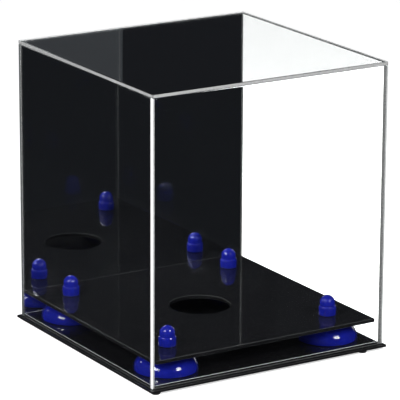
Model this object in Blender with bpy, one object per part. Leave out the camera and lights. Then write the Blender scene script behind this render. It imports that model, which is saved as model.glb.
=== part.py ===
"""Display case for a size 5 ball: a clear cover with a mirror back stands over a black base.

A black platform with a round seat for the ball is raised above the base on four blue domes.
Four blue caps hold it down, each on a long screw that comes up through the base.
The clear cover and its mirror lift straight up off the base.

Metres, +Z up. The origin is the middle of the base on the surface that the feet stand on.
The front is towards -Y and the mirror towards +Y.
"""

import math

import bmesh
import bpy
from mathutils import Matrix, Vector

# Base: a black plate and a smaller one on it that the cover drops over
BASE_SIDE = 0.3050
BASE_THICKNESS = 0.0028
INLAY_THICKNESS = 0.0028
INLAY_PLAY = 0.0005
LEDGE_SIDE = 0.00325
LEDGE_FRONT = 0.0040
LEDGE_BACK = 0.0055

# Rubber feet, tapered towards the tip; the front right one is stuck on further in
FOOT_HEIGHT = 0.0028
FOOT_DIAMETER = 0.0120
FOOT_TAPER = 0.0012
FOOT_ROUND = 0.0006
FOOT_MARGIN = 0.0030
FOOT_MARGIN_FRONT = 0.0010
FOOT_MARGIN_INWARD = 0.0220

# Cover: five sheets, four clear and the mirror at the back
COVER_HEIGHT = 0.3245
PANEL_THICKNESS = 0.0040
MIRROR_THICKNESS = 0.0030

# Raised platform and the round seat that the ball sinks into
RISER_RISE = 0.0229
RISER_THICKNESS = 0.0040
RISER_GAP_SIDE = 0.0037
RISER_GAP_FRONT = 0.0020
RISER_GAP_BACK = 0.00075
SEAT_DIAMETER = 0.0700
SEAT_CHAMFER = 0.0006

# Domes below the platform: hollow mouldings with a boss for the screw
DOME_DIAMETER = 0.0675
DOME_RIM_HEIGHT = 0.0020
DOME_TOE = 0.0006
DOME_SEAT_DIAMETER = 0.0160
DOME_WALL = 0.0024
DOME_BOSS_DIAMETER = 0.0120
DOME_MARGIN = 0.0033
DOME_MARGIN_FRONT = 0.0062

# Caps above the platform: a wide skirt, a rounded shoulder, a neck and a round top
CAP_SKIRT_DIAMETER = 0.0198
CAP_NECK_DIAMETER = 0.0172
CAP_SKIRT_HEIGHT = 0.0075
CAP_SHOULDER_HEIGHT = 0.0030
CAP_NECK_HEIGHT = 0.0034
CAP_TOE = 0.0004

# Countersunk screws with a cross recess
SCREW_DIAMETER = 0.0038
SCREW_HEAD_DIAMETER = 0.0078
SCREW_HEAD_RIM = 0.0003
SCREW_HEAD_HEIGHT = 0.0020
SCREW_GRIP = 0.0069
SCREW_TIP_CHAMFER = 0.0005
RECESS_LENGTH = 0.0044
RECESS_WIDTH = 0.0010
RECESS_DEPTH = 0.0012

# Gap between faces that touch, gap round the screws, polished edges and cutters
GAP = 0.0003
SCREW_CLEARANCE = 0.0003
EDGE_BEVEL = 0.0004
CUT_OVERRUN = 0.0020

# Facets round the turned pieces
DOME_SIDES = 40
CAP_SIDES = 28
SCREW_SIDES = 20
FOOT_SIDES = 20
SEAT_SIDES = 64

# Places worked out from the sizes
BASE_HALF = BASE_SIDE / 2
COVER_HALF_WIDTH = BASE_HALF - LEDGE_SIDE
COVER_FRONT_Y = LEDGE_FRONT - BASE_HALF
COVER_BACK_Y = BASE_HALF - LEDGE_BACK
ROOM_HALF_WIDTH = COVER_HALF_WIDTH - PANEL_THICKNESS
ROOM_FRONT_Y = COVER_FRONT_Y + PANEL_THICKNESS
ROOM_BACK_Y = COVER_BACK_Y - MIRROR_THICKNESS

BASE_BOTTOM_Z = FOOT_HEIGHT + GAP
BASE_TOP_Z = BASE_BOTTOM_Z + BASE_THICKNESS
INLAY_BOTTOM_Z = BASE_TOP_Z + GAP
INLAY_TOP_Z = INLAY_BOTTOM_Z + INLAY_THICKNESS
DOME_BOTTOM_Z = INLAY_TOP_Z + GAP
RISER_BOTTOM_Z = INLAY_TOP_Z + RISER_RISE
RISER_TOP_Z = RISER_BOTTOM_Z + RISER_THICKNESS
CAP_BOTTOM_Z = RISER_TOP_Z + GAP
COVER_BOTTOM_Z = BASE_TOP_Z + GAP
COVER_TOP_Z = COVER_BOTTOM_Z + COVER_HEIGHT

RISER_HALF_WIDTH = ROOM_HALF_WIDTH - RISER_GAP_SIDE
RISER_FRONT_Y = ROOM_FRONT_Y + RISER_GAP_FRONT
RISER_BACK_Y = ROOM_BACK_Y - RISER_GAP_BACK
SEAT_CENTRE_Y = (RISER_FRONT_Y + RISER_BACK_Y) / 2
POST_INSET = DOME_DIAMETER / 2 + DOME_MARGIN
POST_INSET_FRONT = DOME_DIAMETER / 2 + DOME_MARGIN_FRONT
SCREW_LENGTH = CAP_BOTTOM_Z + SCREW_GRIP - BASE_BOTTOM_Z
SCREW_HOLE_RADIUS = SCREW_DIAMETER / 2 + SCREW_CLEARANCE

POST_PLACES = {
    "front_left": (POST_INSET - RISER_HALF_WIDTH, RISER_FRONT_Y + POST_INSET_FRONT),
    "front_right": (RISER_HALF_WIDTH - POST_INSET, RISER_FRONT_Y + POST_INSET_FRONT),
    "back_left": (POST_INSET - RISER_HALF_WIDTH, RISER_BACK_Y - POST_INSET),
    "back_right": (RISER_HALF_WIDTH - POST_INSET, RISER_BACK_Y - POST_INSET),
}


def clear_scene():
    """Remove the objects that the scene opens with."""
    for item in list(bpy.data.objects):
        bpy.data.objects.remove(item, do_unlink=True)


def make_material(name, colour, roughness, metallic=0.0, transmission=0.0):
    """Make a Principled material."""
    material = bpy.data.materials.new(name)
    material.use_nodes = True
    shader = material.node_tree.nodes["Principled BSDF"]
    shader.inputs["Base Color"].default_value = (*colour, 1.0)
    shader.inputs["Roughness"].default_value = roughness
    shader.inputs["Metallic"].default_value = metallic
    shader.inputs["Transmission Weight"].default_value = transmission
    material.diffuse_color = (*colour, 1.0)
    return material


def add_object(name, mesh, material, place, parent=None):
    """Link a mesh into the scene at a place in the world."""
    item = bpy.data.objects.new(name, mesh)
    if not mesh.materials:
        mesh.materials.append(material)
    bpy.context.collection.objects.link(item)
    item.location = place
    if parent:
        item.parent = parent
        item.location = Vector(place) - parent.location
    return item


def add_empty(name, place):
    """Add a parent empty for the pieces that move together."""
    empty = bpy.data.objects.new(name, None)
    empty.location = place
    bpy.context.collection.objects.link(empty)
    return empty


def box_mesh(name, size):
    """Make a box centred on its own origin."""
    shape = bmesh.new()
    bmesh.ops.create_cube(shape, size=1.0, matrix=Matrix.Diagonal((*size, 1.0)))
    mesh = bpy.data.meshes.new(name)
    shape.to_mesh(mesh)
    shape.free()
    return mesh


def sheet(name, low, high, material, parent=None):
    """Add a flat sheet between two corners, with its edges polished to a small bevel."""
    size = [b - a for a, b in zip(low, high)]
    centre = [(a + b) / 2 for a, b in zip(low, high)]
    item = add_object(name, box_mesh(name, size), material, centre, parent)
    bevel = item.modifiers.new("polished_edges", "BEVEL")
    bevel.width = EDGE_BEVEL
    bevel.segments = 1
    bevel.limit_method = "NONE"
    return item


def arc(centre, radius, start, end, steps):
    """Points (radius, height) along an arc, angles in degrees from the outward direction."""
    points = []
    for i in range(steps + 1):
        angle = math.radians(start + (end - start) * i / steps)
        points.append((centre[0] + radius * math.cos(angle), centre[1] + radius * math.sin(angle)))
    return points


def turned_mesh(name, profile, sides, closed):
    """Turn a profile of (radius, height) points about +Z into a closed solid.

    A closed profile makes a ring; an open one starts and ends on the axis.
    """
    shape = bmesh.new()
    points = [shape.verts.new((radius, 0.0, height)) for radius, height in profile]
    pairs = list(zip(points, points[1:]))
    if closed:
        pairs.append((points[-1], points[0]))
    edges = [shape.edges.new(pair) for pair in pairs]
    bmesh.ops.spin(
        shape, geom=points + edges, cent=(0.0, 0.0, 0.0), axis=(0.0, 0.0, 1.0),
        angle=math.tau, steps=sides, use_merge=True)
    bmesh.ops.remove_doubles(shape, verts=shape.verts, dist=GAP / 100)
    bmesh.ops.recalc_face_normals(shape, faces=shape.faces)
    mesh = bpy.data.meshes.new(name)
    shape.to_mesh(mesh)
    shape.free()
    mesh.shade_smooth()
    mesh.set_sharp_from_angle(angle=math.radians(35))
    return mesh


def cut(item, name, mesh, place):
    """Cut a hole in a piece with a hidden cutter."""
    cutter = bpy.data.objects.new(name, mesh)
    cutter.location = place
    cutter.hide_render = True
    cutter.display_type = "WIRE"
    bpy.context.collection.objects.link(cutter)
    boolean = item.modifiers.new(name, "BOOLEAN")
    boolean.operation = "DIFFERENCE"
    boolean.solver = "EXACT"
    boolean.object = cutter


def hole_profile(radius, depth):
    """Cutter for a plain hole down from its mouth at height zero, run past both faces."""
    low = -depth - CUT_OVERRUN
    return [(0.0, low), (radius, low), (radius, CUT_OVERRUN), (0.0, CUT_OVERRUN)]


def seat_profile():
    """Cutter for the ball's seat, chamfered at both faces of the platform."""
    radius = SEAT_DIAMETER / 2
    wide = radius + SEAT_CHAMFER
    half = RISER_THICKNESS / 2
    return [
        (0.0, -half - CUT_OVERRUN), (wide, -half - CUT_OVERRUN), (wide, -half),
        (radius, SEAT_CHAMFER - half), (radius, half - SEAT_CHAMFER),
        (wide, half), (wide, half + CUT_OVERRUN), (0.0, half + CUT_OVERRUN)]


def countersink_profile():
    """Cutter for a screw hole with its countersink, upwards from the plate's underside."""
    head = SCREW_HEAD_DIAMETER / 2 + SCREW_CLEARANCE
    cone_top = SCREW_HEAD_HEIGHT + SCREW_CLEARANCE
    high = BASE_THICKNESS + CUT_OVERRUN
    return [
        (0.0, -CUT_OVERRUN), (head, -CUT_OVERRUN), (head, SCREW_HEAD_RIM),
        (SCREW_HOLE_RADIUS, cone_top), (SCREW_HOLE_RADIUS, high), (0.0, high)]


def screw_profile():
    """Flat head, cone and shank of a countersunk screw, head down."""
    head = SCREW_HEAD_DIAMETER / 2
    shank = SCREW_DIAMETER / 2
    return [
        (0.0, 0.0), (head, 0.0), (head, SCREW_HEAD_RIM), (shank, SCREW_HEAD_HEIGHT),
        (shank, SCREW_LENGTH - SCREW_TIP_CHAMFER),
        (shank - SCREW_TIP_CHAMFER, SCREW_LENGTH), (0.0, SCREW_LENGTH)]


def foot_profile():
    """A tapered foot, its tip at height zero."""
    top = FOOT_DIAMETER / 2
    tip = top - FOOT_TAPER
    rounding = arc((tip - FOOT_ROUND, FOOT_ROUND), FOOT_ROUND, -90, 0, 3)
    return [(0.0, 0.0), *rounding, (top, FOOT_HEIGHT), (0.0, FOOT_HEIGHT)]


def crown_arc(radius, low, high, end_radius, steps):
    """A quarter of an ellipse that rises from upright and reaches its height at the end radius."""
    end = math.acos(end_radius / radius)
    points = []
    for i in range(steps + 1):
        angle = end * i / steps
        rise = (high - low) * math.sin(angle) / math.sin(end)
        points.append((radius * math.cos(angle), low + rise))
    return points


def dome_profile():
    """Outside, screw hole, boss and hollow of a dome, its rim at height zero.

    The crown rises from the top of the upright rim to the flat seat.
    The hollow follows it at the wall's thickness.
    """
    rim = DOME_DIAMETER / 2
    seat = DOME_SEAT_DIAMETER / 2
    boss = DOME_BOSS_DIAMETER / 2
    height = RISER_RISE - 2 * GAP
    inner_rim = rim - DOME_WALL
    outside = crown_arc(rim, DOME_RIM_HEIGHT, height, seat, 8)
    inside = crown_arc(inner_rim, DOME_RIM_HEIGHT, height - DOME_WALL, boss, 6)
    return [
        (rim - DOME_TOE, 0.0), (rim, DOME_TOE), *outside,
        (SCREW_HOLE_RADIUS, height), (SCREW_HOLE_RADIUS, 0.0), (boss, 0.0),
        *reversed(inside), (inner_rim, 0.0)]


def cap_profile():
    """Outside of a cap from its skirt up to the round top, then its blind screw hole."""
    skirt = CAP_SKIRT_DIAMETER / 2
    neck = CAP_NECK_DIAMETER / 2
    step = skirt - neck
    shoulder = [
        (neck + step * share_out, CAP_SKIRT_HEIGHT + CAP_SHOULDER_HEIGHT * share_up)
        for share_out, share_up in arc((0.0, 0.0), 1.0, 0, 90, 3)]
    neck_top = CAP_SKIRT_HEIGHT + CAP_SHOULDER_HEIGHT + CAP_NECK_HEIGHT
    top = arc((0.0, neck_top), neck, 0, 90, 6)[:-1]
    hole_top = SCREW_GRIP + GAP
    return [
        (0.0, hole_top), (SCREW_HOLE_RADIUS, hole_top), (SCREW_HOLE_RADIUS, 0.0),
        (skirt - CAP_TOE, 0.0), (skirt, CAP_TOE), *shoulder, *top, (0.0, neck_top + neck)]


def recess_mesh():
    """Cross-shaped cutter for the driver's recess in a screw head."""
    long_half = RECESS_LENGTH / 2
    half = RECESS_WIDTH / 2
    outline = []
    for turn in range(4):
        for x, y in ((long_half, -half), (long_half, half), (half, half)):
            angle = math.tau * turn / 4
            outline.append((
                x * math.cos(angle) - y * math.sin(angle),
                x * math.sin(angle) + y * math.cos(angle)))
    shape = bmesh.new()
    corners = [shape.verts.new((x, y, -CUT_OVERRUN)) for x, y in outline]
    face = shape.faces.new(corners)
    raised = bmesh.ops.extrude_face_region(shape, geom=[face])
    moved = [part for part in raised["geom"] if isinstance(part, bmesh.types.BMVert)]
    bmesh.ops.translate(shape, verts=moved, vec=(0.0, 0.0, CUT_OVERRUN + RECESS_DEPTH))
    bmesh.ops.recalc_face_normals(shape, faces=shape.faces)
    mesh = bpy.data.meshes.new("recess")
    shape.to_mesh(mesh)
    shape.free()
    return mesh


def make_base(black):
    """Base plate with countersunk holes and the inlay on it that locates the cover."""
    base = sheet(
        "base_plate", (-BASE_HALF, -BASE_HALF, BASE_BOTTOM_Z), (BASE_HALF, BASE_HALF, BASE_TOP_Z), black)
    inlay_half = ROOM_HALF_WIDTH - INLAY_PLAY
    inlay = sheet(
        "base_inlay", (-inlay_half, ROOM_FRONT_Y + INLAY_PLAY, INLAY_BOTTOM_Z),
        (inlay_half, ROOM_BACK_Y - INLAY_PLAY, INLAY_TOP_Z), black)
    sink = turned_mesh("countersink", countersink_profile(), SCREW_SIDES, closed=False)
    hole = turned_mesh(
        "inlay_hole", hole_profile(SCREW_HOLE_RADIUS, INLAY_THICKNESS), SCREW_SIDES, closed=False)
    for side, (x, y) in POST_PLACES.items():
        cut(base, f"countersink_{side}", sink, (x, y, BASE_BOTTOM_Z))
        cut(inlay, f"inlay_hole_{side}", hole, (x, y, INLAY_TOP_Z))


def make_feet(rubber):
    """Four rubber feet under the base plate."""
    radius = FOOT_DIAMETER / 2
    edge = BASE_HALF - radius
    places = {
        "front_left": (FOOT_MARGIN - edge, FOOT_MARGIN_FRONT - edge),
        "front_right": (edge - FOOT_MARGIN_INWARD, FOOT_MARGIN_FRONT - edge),
        "back_left": (FOOT_MARGIN - edge, edge - FOOT_MARGIN),
        "back_right": (edge - FOOT_MARGIN, edge - FOOT_MARGIN),
    }
    mesh = turned_mesh("foot", foot_profile(), FOOT_SIDES, closed=False)
    for side, (x, y) in places.items():
        add_object(f"foot_{side}", mesh, rubber, (x, y, 0.0))


def make_riser(black):
    """Raised platform with the ball's seat and four screw holes."""
    riser = sheet(
        "riser_platform", (-RISER_HALF_WIDTH, RISER_FRONT_Y, RISER_BOTTOM_Z),
        (RISER_HALF_WIDTH, RISER_BACK_Y, RISER_TOP_Z), black)
    seat = turned_mesh("seat", seat_profile(), SEAT_SIDES, closed=False)
    cut(riser, "seat", seat, (0.0, SEAT_CENTRE_Y, (RISER_BOTTOM_Z + RISER_TOP_Z) / 2))
    hole = turned_mesh(
        "riser_hole", hole_profile(SCREW_HOLE_RADIUS, RISER_THICKNESS), SCREW_SIDES, closed=False)
    for side, (x, y) in POST_PLACES.items():
        cut(riser, f"riser_hole_{side}", hole, (x, y, RISER_TOP_Z))


def make_posts(blue, steel):
    """A dome, a cap and a screw at each corner of the platform."""
    dome = turned_mesh("dome", dome_profile(), DOME_SIDES, closed=True)
    cap = turned_mesh("cap", cap_profile(), CAP_SIDES, closed=False)
    screw = turned_mesh("screw", screw_profile(), SCREW_SIDES, closed=False)
    recess = recess_mesh()
    for side, (x, y) in POST_PLACES.items():
        add_object(f"post_dome_{side}", dome, blue, (x, y, DOME_BOTTOM_Z))
        add_object(f"post_cap_{side}", cap, blue, (x, y, CAP_BOTTOM_Z))
        item = add_object(f"post_screw_{side}", screw, steel, (x, y, BASE_BOTTOM_Z))
        cut(item, f"recess_{side}", recess, (x, y, BASE_BOTTOM_Z))


def make_cover(clear, mirror):
    """Five sheets joined into the cover, on an empty that lifts straight up."""
    lift = add_empty("cover_lift", (0.0, (COVER_FRONT_Y + COVER_BACK_Y) / 2, COVER_BOTTOM_Z))
    wall_top = COVER_TOP_Z - PANEL_THICKNESS - GAP
    wall_front = ROOM_FRONT_Y + GAP
    wall_back = ROOM_BACK_Y - GAP
    sheet(
        "cover_top", (-COVER_HALF_WIDTH, COVER_FRONT_Y, COVER_TOP_Z - PANEL_THICKNESS),
        (COVER_HALF_WIDTH, COVER_BACK_Y, COVER_TOP_Z), clear, lift)
    sheet(
        "cover_front", (-COVER_HALF_WIDTH, COVER_FRONT_Y, COVER_BOTTOM_Z),
        (COVER_HALF_WIDTH, ROOM_FRONT_Y, wall_top), clear, lift)
    sheet(
        "cover_left", (-COVER_HALF_WIDTH, wall_front, COVER_BOTTOM_Z),
        (-ROOM_HALF_WIDTH, wall_back, wall_top), clear, lift)
    sheet(
        "cover_right", (ROOM_HALF_WIDTH, wall_front, COVER_BOTTOM_Z),
        (COVER_HALF_WIDTH, wall_back, wall_top), clear, lift)
    sheet(
        "mirror_back", (-COVER_HALF_WIDTH, ROOM_BACK_Y, COVER_BOTTOM_Z),
        (COVER_HALF_WIDTH, COVER_BACK_Y, wall_top), mirror, lift)


def main():
    """Build the display case."""
    clear_scene()
    black = make_material("black_acrylic", (0.006, 0.006, 0.007), 0.06)
    blue = make_material("blue_plastic", (0.012, 0.013, 0.305), 0.16)
    steel = make_material("zinc_steel", (0.55, 0.56, 0.58), 0.35, metallic=1.0)
    rubber = make_material("black_rubber", (0.012, 0.012, 0.012), 0.75)
    clear = make_material("clear_acrylic", (0.95, 0.97, 0.97), 0.02, transmission=1.0)
    mirror = make_material("mirror_silver", (0.80, 0.81, 0.82), 0.02, metallic=1.0)
    make_base(black)
    make_feet(rubber)
    make_riser(black)
    make_posts(blue, steel)
    make_cover(clear, mirror)


main()
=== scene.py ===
"""Display case for a ball: finishes, fine shapes, a pale studio and a camera.

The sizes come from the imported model. Operators make one piece or group of like pieces each.
Metres, +Z up. The front of the case is towards -Y and its mirror towards +Y.
"""

import math

import bmesh
import bpy
from mathutils import Matrix, Vector


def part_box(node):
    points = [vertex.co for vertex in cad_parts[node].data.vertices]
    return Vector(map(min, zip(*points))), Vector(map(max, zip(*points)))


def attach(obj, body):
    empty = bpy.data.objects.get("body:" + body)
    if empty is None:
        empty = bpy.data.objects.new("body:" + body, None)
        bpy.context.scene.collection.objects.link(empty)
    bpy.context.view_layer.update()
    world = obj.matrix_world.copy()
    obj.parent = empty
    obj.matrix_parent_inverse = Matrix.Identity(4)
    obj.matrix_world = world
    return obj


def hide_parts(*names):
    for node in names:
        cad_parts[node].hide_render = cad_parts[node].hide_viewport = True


bl_info = {
    "name": "Ball Display Case",
    "version": (1, 0, 0),
    "blender": (4, 5, 0),
    "location": "View3D > Sidebar > Display Case",
    "description": "Builds the finished pieces of a clear display case with a mirror back",
    "category": "Object",
}

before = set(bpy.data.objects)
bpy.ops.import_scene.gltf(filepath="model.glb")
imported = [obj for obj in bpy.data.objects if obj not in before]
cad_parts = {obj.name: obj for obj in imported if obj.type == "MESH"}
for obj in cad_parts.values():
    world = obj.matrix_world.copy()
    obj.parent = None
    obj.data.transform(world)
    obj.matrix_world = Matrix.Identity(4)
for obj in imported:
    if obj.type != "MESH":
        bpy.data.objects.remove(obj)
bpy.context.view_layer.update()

CORNERS = ("front_left", "front_right", "back_left", "back_right")
AXIS_X, AXIS_Y, AXIS_Z = range(3)
ENDS = {
    "left": (AXIS_X, -1), "right": (AXIS_X, 1), "front": (AXIS_Y, -1), "back": (AXIS_Y, 1),
    "foot": (AXIS_Z, -1)}
FINISHES = {}

# A face is flat when it is this square to a sheet's axis, and slanting when it is this square
FLAT = 0.999
SLANTING = 0.5

# Edges sharper than this are rounded on the sheets, or kept crisp on the mouldings
ROUNDED_ANGLE = 40
POST_CRISP_ANGLE = 32
FOOT_CRISP_ANGLE = 40

# Points of a turned moulding closer than the first merge, and edges below the second go
MERGE_DISTANCE = 0.00001
NEEDLE_LENGTH = 0.000001

# Faces round the seat and the screw holes, and a cutter's height in boards' thicknesses
SEAT_SIDES = 160
HOLE_SIDES = 32
CUTTER_REACH = 3

# How strongly each material bends light
ACRYLIC_IOR = 1.49
MOULDING_IOR = 1.5

# Colours of dust and wipe marks on each material, linear
DUST_ON_BLACK = (0.18, 0.18, 0.19, 1.0)
DUST_ON_BLUE = (0.30, 0.30, 0.40, 1.0)
DUST_ON_RUBBER = (0.12, 0.12, 0.12, 1.0)
DUST_ON_PAINT = (0.35, 0.35, 0.35, 1.0)
WIPED_CLEAR = (0.80, 0.82, 0.83, 1.0)

# Paleness of each sheet's sawn ends, from outside and from inside: painted light and shade
# Each end is painted paler or darker for the light it catches from this view, and darker from inside as
# painted shade
TOP_END = (0.30, 0.30)
CLEAR_SHEETS = (
    ("cover_top", "top_sheet", AXIS_Z, FLAT,
     {"left": TOP_END, "right": TOP_END, "front": TOP_END, "back": TOP_END}),
    ("cover_front", "front_sheet", AXIS_Y, SLANTING, {"left": (0.9, 0.04), "right": (0.4, 0.4)}),
    ("cover_left", "left_sheet", AXIS_X, SLANTING, {"front": (0.45, 0.04), "back": (0.16, 0.16)}),
    ("cover_right", "right_sheet", AXIS_X, SLANTING, {"front": (0.13, 0.04), "back": (0.12, 0.12)}),
)

# Level directions: from the front left to behind the case, and from there to the right
BEHIND = (0.524, 0.852, 0.0)
SIDEWAYS = (0.852, -0.524, 0.0)

# Surroundings, linear
WHITE = (1.0, 1.0, 1.0, 1.0)
DARK_ROOM = (0.0105, 0.0112, 0.0135, 1.0)
GREY_PANEL = (0.070, 0.076, 0.083, 1.0)
GREY_PANEL_EDGE = -0.0265
DARK_FLOOR = (0.0095, 0.0102, 0.0120, 1.0)
PAPER = (0.80, 0.80, 0.80, 1.0)

# Name, angle round the case, angle above the horizon, width and height in degrees, power share
SOFTBOXES = (
    ("softbox_right", 13.4, 31.0, 20.0, 20.0, 1.0),
    ("softbox_left", -76.6, 31.0, 26.0, 20.0, 1.2),
)
FLOOR_SIDES = 128
SENSOR_WIDTH = 36.0
NEAREST, FARTHEST = 0.1, 20.0


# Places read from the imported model

def low_corner(node):
    """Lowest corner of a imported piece."""
    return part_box(node)[0]


def centre(node):
    """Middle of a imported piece."""
    low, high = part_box(node)
    return (low + high) / 2


def foot_of(node):
    """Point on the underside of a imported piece, below its middle."""
    middle = centre(node)
    return Vector((middle.x, middle.y, low_corner(node).z))


def width_of(node):
    """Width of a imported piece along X."""
    low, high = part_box(node)
    return high.x - low.x


def height_of(node):
    """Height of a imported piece."""
    low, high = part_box(node)
    return high.z - low.z


# Settings that a user would change

class CaseSizes(bpy.types.PropertyGroup):
    """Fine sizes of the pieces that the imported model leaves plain."""

    sheet_edge: bpy.props.FloatProperty(
        name="Sheet edge", description="Rounding of the clear sheets' polished edges",
        default=0.0006, min=0.0001, max=0.001, unit="LENGTH")
    board_edge: bpy.props.FloatProperty(
        name="Board edge", description="Rounding of the black boards' polished edges",
        default=0.0005, min=0.0001, max=0.001, unit="LENGTH")
    inlay_edge: bpy.props.FloatProperty(
        name="Inlay edge", description="Rounding of the inlay's edges, which catch the light",
        default=0.0008, min=0.0001, max=0.0013, unit="LENGTH")
    edge_steps: bpy.props.IntProperty(
        name="Edge steps", description="Faces across a rounded edge", default=4, min=1, max=8)
    seat_diameter: bpy.props.FloatProperty(
        name="Seat diameter", description="Round hole in the platform that the ball sinks into",
        default=0.0700, min=0.02, max=0.12, unit="LENGTH")
    screw_hole: bpy.props.FloatProperty(
        name="Screw hole", description="Hole in the platform for each long screw",
        default=0.0044, min=0.002, max=0.01, unit="LENGTH")
    dome_rim: bpy.props.FloatProperty(
        name="Dome rim", description="Upright rim at the foot of each dome",
        default=0.0020, min=0.001, max=0.008, unit="LENGTH")
    dome_seat: bpy.props.FloatProperty(
        name="Dome seat", description="Flat on top of each dome under the platform",
        default=0.0160, min=0.008, max=0.03, unit="LENGTH")
    dome_wall: bpy.props.FloatProperty(
        name="Dome wall", description="Wall of the hollow domes",
        default=0.0024, min=0.001, max=0.005, unit="LENGTH")
    dome_boss: bpy.props.FloatProperty(
        name="Dome boss", description="Boss round the screw inside each dome",
        default=0.0120, min=0.006, max=0.02, unit="LENGTH")
    cap_neck: bpy.props.FloatProperty(
        name="Cap neck", description="Neck of each cap",
        default=0.0172, min=0.01, max=0.0195, unit="LENGTH")
    cap_skirt: bpy.props.FloatProperty(
        name="Cap skirt", description="Height of the wide foot of each cap",
        default=0.0075, min=0.002, max=0.012, unit="LENGTH")
    cap_shoulder: bpy.props.FloatProperty(
        name="Cap shoulder", description="Height of the rounded shoulder of each cap",
        default=0.0030, min=0.0005, max=0.004, unit="LENGTH")
    toe: bpy.props.FloatProperty(
        name="Toe rounding", description="Rounding at the foot of the moulded pieces",
        default=0.0005, min=0.0001, max=0.001, unit="LENGTH")
    foot_taper: bpy.props.FloatProperty(
        name="Foot taper", description="How much a rubber foot narrows towards its tip, per side",
        default=0.0012, min=0.0, max=0.003, unit="LENGTH")
    turned_sides: bpy.props.IntProperty(
        name="Turned sides", description="Faces round the moulded pieces", default=96, min=24, max=200)


class CaseColours(bpy.types.PropertyGroup):
    """Colours of the finishes, linear."""

    black: bpy.props.FloatVectorProperty(
        name="Black acrylic", description="Colour of the base, its inlay and the platform",
        subtype="COLOR", size=3, min=0, max=1, default=(0.0052, 0.0052, 0.0058))
    blue: bpy.props.FloatVectorProperty(
        name="Blue plastic", description="Colour of the domes and caps",
        subtype="COLOR", size=3, min=0, max=1, default=(0.0045, 0.0075, 0.165))
    zinc: bpy.props.FloatVectorProperty(
        name="Zinc", description="Colour of the screws",
        subtype="COLOR", size=3, min=0, max=1, default=(0.55, 0.56, 0.58))
    rubber: bpy.props.FloatVectorProperty(
        name="Rubber", description="Colour of the feet",
        subtype="COLOR", size=3, min=0, max=1, default=(0.010, 0.010, 0.011))
    clear: bpy.props.FloatVectorProperty(
        name="Clear acrylic", description="Tint of the clear sheets",
        subtype="COLOR", size=3, min=0, max=1, default=(0.985, 0.995, 0.993))
    edge: bpy.props.FloatVectorProperty(
        name="Polished edge", description="Tint of the clear sheets' edges",
        subtype="COLOR", size=3, min=0, max=1, default=(0.94, 0.97, 0.97))
    # The sheets' sawn ends: frosting whose pale colour is also painted light, scaled per end
    frosted_and_painted_light: bpy.props.FloatVectorProperty(
        name="Frosted edge", description="Colour of the clear sheets' sawn, frosted edges",
        subtype="COLOR", size=3, min=0, max=1, default=(0.96, 0.965, 0.965))
    # Painted highlight: a pale colour laid on the black boards' corners for the light they catch
    arris_highlight: bpy.props.FloatVectorProperty(
        name="Scraped arris", description="Colour of the black boards' scraped corners",
        subtype="COLOR", size=3, min=0, max=1, default=(0.88, 0.88, 0.89))
    silver: bpy.props.FloatVectorProperty(
        name="Mirror silver", description="Colour of the mirror's face",
        subtype="COLOR", size=3, min=0, max=1, default=(0.84, 0.86, 0.865))
    mirror_edge: bpy.props.FloatVectorProperty(
        name="Mirror edge", description="Colour of the mirror sheet's cut edge",
        subtype="COLOR", size=3, min=0, max=1, default=(0.055, 0.058, 0.060))
    mirror_paint: bpy.props.FloatVectorProperty(
        name="Mirror paint", description="Colour of the paint on the mirror's back",
        subtype="COLOR", size=3, min=0, max=1, default=(0.115, 0.120, 0.125))


class CaseStudio(bpy.types.PropertyGroup):
    """Camera, lamps and backdrop."""

    target: bpy.props.FloatVectorProperty(
        name="Target", description="Point that the camera turns about",
        size=3, unit="LENGTH", default=(0.0, -0.00075, 0.15825))
    azimuth: bpy.props.FloatProperty(
        name="Azimuth", description="Camera's angle round the case, zero in front of it",
        subtype="ANGLE", default=math.radians(-31.61))
    elevation: bpy.props.FloatProperty(
        name="Elevation", description="Camera's angle above the horizon",
        subtype="ANGLE", default=math.radians(16.01))
    roll: bpy.props.FloatProperty(
        name="Roll", description="Camera's turn about its own line of sight",
        subtype="ANGLE", default=math.radians(0.274))
    distance: bpy.props.FloatProperty(
        name="Distance", description="Camera to target", default=3.2657, unit="LENGTH")
    slide: bpy.props.FloatVectorProperty(
        name="Slide", description="Camera's move to the right and up in its own picture",
        size=2, unit="LENGTH", default=(-0.00005, 0.00069))
    lens: bpy.props.FloatProperty(
        name="Lens", description="Focal length in millimetres on a 36 mm sensor", default=262.17)
    lamp_power: bpy.props.FloatProperty(
        name="Lamp power", description="Power of each softbox", default=24.0, unit="POWER")
    lamp_distance: bpy.props.FloatProperty(
        name="Lamp distance", description="Softbox to target", default=1.6, unit="LENGTH")
    ambient: bpy.props.FloatProperty(
        name="Ambient", description="Even light from all round", default=0.35, min=0.0, max=2.0)
    floor_radius: bpy.props.FloatProperty(
        name="Floor radius", description="Radius of the pale floor", default=3.0, unit="LENGTH")


# Mesh helpers

def link_piece(name, mesh, body, slot, *nodes):
    """Put a finished mesh in the scene, on its body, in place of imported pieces."""
    piece = bpy.data.objects.new(name, mesh)
    bpy.context.scene.collection.objects.link(piece)
    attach(piece, body)
    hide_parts(*nodes)
    return piece


def smooth(mesh, degrees):
    """Shade a mesh smooth, with edges sharper than an angle kept crisp."""
    mesh.shade_smooth()
    mesh.set_sharp_from_angle(angle=math.radians(degrees))


def object_of(name, shape):
    """A scene object from a shape being built, with its place in its mesh."""
    mesh = bpy.data.meshes.new(name)
    shape.to_mesh(mesh)
    shape.free()
    item = bpy.data.objects.new(name, mesh)
    bpy.context.scene.collection.objects.link(item)
    return item


def box_object(name, low, high):
    """A box between two corners, as a working object."""
    size = high - low
    place = Matrix.Translation((low + high) / 2) @ Matrix.Diagonal((*size, 1.0))
    shape = bmesh.new()
    bmesh.ops.create_cube(shape, size=1.0, matrix=place)
    return object_of(name, shape)


def drill_object(place, radius, height, sides):
    """A round cutter on a vertical axis, as a working object."""
    shape = bmesh.new()
    bmesh.ops.create_cone(
        shape, cap_ends=True, segments=sides, radius1=radius, radius2=radius, depth=height,
        matrix=Matrix.Translation(place))
    return object_of("drill", shape)


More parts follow.
